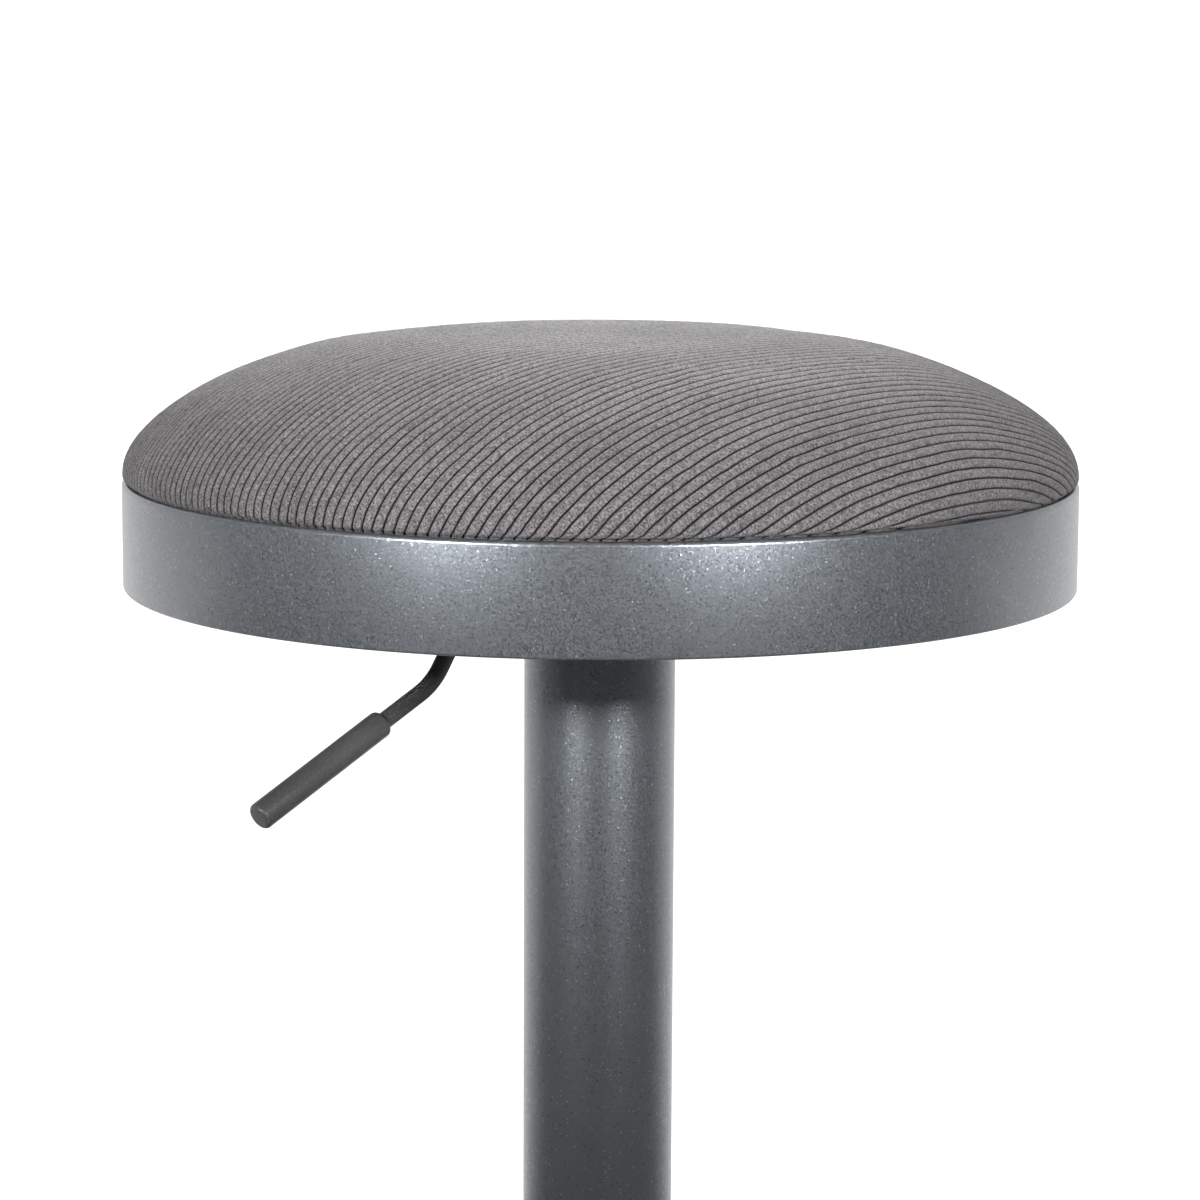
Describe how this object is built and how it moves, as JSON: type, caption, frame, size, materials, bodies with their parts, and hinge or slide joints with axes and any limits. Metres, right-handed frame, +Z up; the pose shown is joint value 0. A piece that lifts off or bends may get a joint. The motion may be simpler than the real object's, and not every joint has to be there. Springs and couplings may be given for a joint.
{
  "type": "adjustable swivel stool",
  "caption": "Adjustable swivel stool: round corduroy-covered cushion in a deep metal ring on a tube column, with a lift lever, footrest hoop and round floor plate.",
  "frame": {"origin": "floor level on the column's axis, at the centre of the bounding box's underside", "axes": "+Z up along the column; the lever points towards -X and -Y, 222 degrees from +X"},
  "size_m": [0.4399, 0.44, 0.655],
  "materials": {
    "powder_steel": "gunmetal powder coat with fine metallic flakes, satin",
    "black_steel": "black satin paint",
    "zinc_steel": "zinc plated",
    "bright_steel": "ground steel",
    "aluminium": "machined",
    "black_plastic": "fine moulded texture",
    "black_rubber": "matt",
    "plywood": "birch plywood, unfinished",
    "foam": "moulded seat foam",
    "corduroy": "grey-taupe corduroy with straight wales"
  },
  "bodies": {
    "base": {"base_plate": "powder_steel", "base_pads": "black_rubber", "column_flange": "black_steel", "flange_screws": "zinc_steel", "flange_trim": "powder_steel", "column_tube": "powder_steel", "locating_rings": "black_steel", "standpipe": "black_steel", "guide_bush": "black_plastic", "column_cap": "black_plastic", "lower_race": "bright_steel", "bearing_balls": "bright_steel", "bearing_cage": "black_plastic", "footrest_ring": "powder_steel", "footrest_spokes": "powder_steel", "footrest_collar": "powder_steel", "collar_screws": "black_steel"},
    "piston_rod": {"piston_rod": "bright_steel", "rod_clip": "bright_steel", "upper_race": "bright_steel", "rod_bumper": "black_rubber", "piston": "aluminium", "piston_seal": "black_rubber"},
    "seat": {"gas_cylinder": "black_steel", "cylinder_gland": "black_plastic", "gland_seal": "black_rubber", "taper_socket": "black_steel", "lift_channel": "black_steel", "bracket_plate": "black_steel", "bracket_bolts": "zinc_steel", "bolt_washers": "zinc_steel", "board_spacers": "zinc_steel", "tee_nuts": "zinc_steel", "cross_straps": "black_steel", "seat_ring": "powder_steel", "seat_board": "plywood", "foam_pad": "foam", "fabric_cover": "corduroy", "cover_staples": "zinc_steel", "pivot_pin": "zinc_steel", "pin_clip": "zinc_steel", "pivot_spacers": "black_plastic"},
    "lever": {"lever_rocker": "zinc_steel", "lever_rod": "black_steel", "lever_handle": "black_plastic"},
    "valve": {"valve_button": "bright_steel"}
  },
  "joints": [
    {"name": "seat_swivel", "type": "hinge", "parent": "base", "child": "piston_rod", "pos_m": [0, 0, 0.222], "axis": [0, 0, 1], "continuous": true},
    {"name": "seat_height", "type": "slide", "parent": "piston_rod", "child": "seat", "axis": [0, 0, 1], "range_m": [0, 0.2]},
    {"name": "lever_pivot", "type": "hinge", "parent": "seat", "child": "lever", "pos_m": [-0.01635, -0.01472, 0.5665], "axis": [-0.6691, 0.7431, 0], "range_deg": [0, 9]},
    {"name": "valve_press", "type": "slide", "parent": "seat", "child": "valve", "axis": [0, 0, 1], "range_m": [-0.00346, 0], "stiffness_N_per_m": 400}
  ],
  "couplings": [
    {"joint": "valve_press", "follows": "lever_pivot", "m_per_rad": -0.022}
  ]
}
